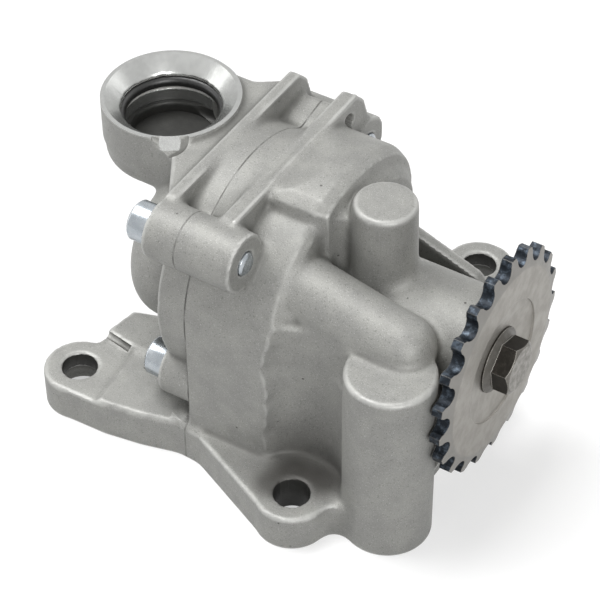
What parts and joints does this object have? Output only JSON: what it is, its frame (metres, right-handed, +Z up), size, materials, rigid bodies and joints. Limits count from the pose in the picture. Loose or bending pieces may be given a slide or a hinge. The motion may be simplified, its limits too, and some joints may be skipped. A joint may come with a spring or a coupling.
{
  "type": "engine oil pump",
  "caption": "Chain driven gerotor oil pump: cast housing on a drilled foot, bolted rear cover with a suction port, bolted sprocket and a relief valve.",
  "frame": {"origin": "on the mounting face under the joint of cover and housing, in the plane of the drive shaft", "axes": "+X along the drive shaft towards the sprocket, +Z up from the mounting face"},
  "size_m": [0.1201, 0.1128, 0.0767],
  "materials": {
    "housing_casting": "as cast, shot blasted",
    "cover_casting": "as cast, machined port face",
    "ground_steel": "ground",
    "sintered_steel": "sintered and ground",
    "bearing_bronze": "plain bearing",
    "hardened_sprocket": "pale face, blue black hardened teeth",
    "blackened_bolt": "phosphated black",
    "zinc_plated_bolts": "bright zinc",
    "spring_steel": "oiled spring steel",
    "seal_rubber": "matt black"
  },
  "bodies": {
    "housing": {"pump_housing": "housing_casting", "rear_cover": "cover_casting", "front_bearing_bush": "bearing_bronze", "rear_bearing_bush": "bearing_bronze", "suction_port_o_ring": "seal_rubber", "outlet_port_seal": "seal_rubber", "relief_spring": "spring_steel", "relief_cap": "ground_steel", "relief_cap_o_ring": "seal_rubber", "relief_snap_ring": "spring_steel", "cover_bolts": "zinc_plated_bolts", "short_cover_bolt": "zinc_plated_bolts", "cover_dowels": "ground_steel"},
    "drive": {"drive_shaft": "ground_steel", "rotor_drive_pin": "ground_steel", "inner_rotor": "sintered_steel", "drive_sprocket": "hardened_sprocket", "sprocket_bolt": "blackened_bolt"},
    "outer_ring": {"outer_rotor": "sintered_steel"},
    "relief_valve": {"relief_piston": "ground_steel"}
  },
  "joints": [
    {"name": "drive_spin", "type": "hinge", "parent": "housing", "child": "drive", "pos_m": [0, 0, 0.04], "axis": [1, 0, 0], "continuous": true},
    {"name": "outer_rotor_spin", "type": "hinge", "parent": "housing", "child": "outer_ring", "pos_m": [0, 0, 0.0426], "axis": [1, 0, 0], "continuous": true},
    {"name": "relief_slide", "type": "slide", "parent": "housing", "child": "relief_valve", "axis": [0, 1, 0], "range_m": [0, 0.005], "stiffness_N_per_m": 4000, "springref_m": -0.004, "deforming": ["relief_spring"]}
  ],
  "couplings": [
    {"joint": "outer_rotor_spin", "follows": "drive_spin", "ratio": 0.85714}
  ]
}
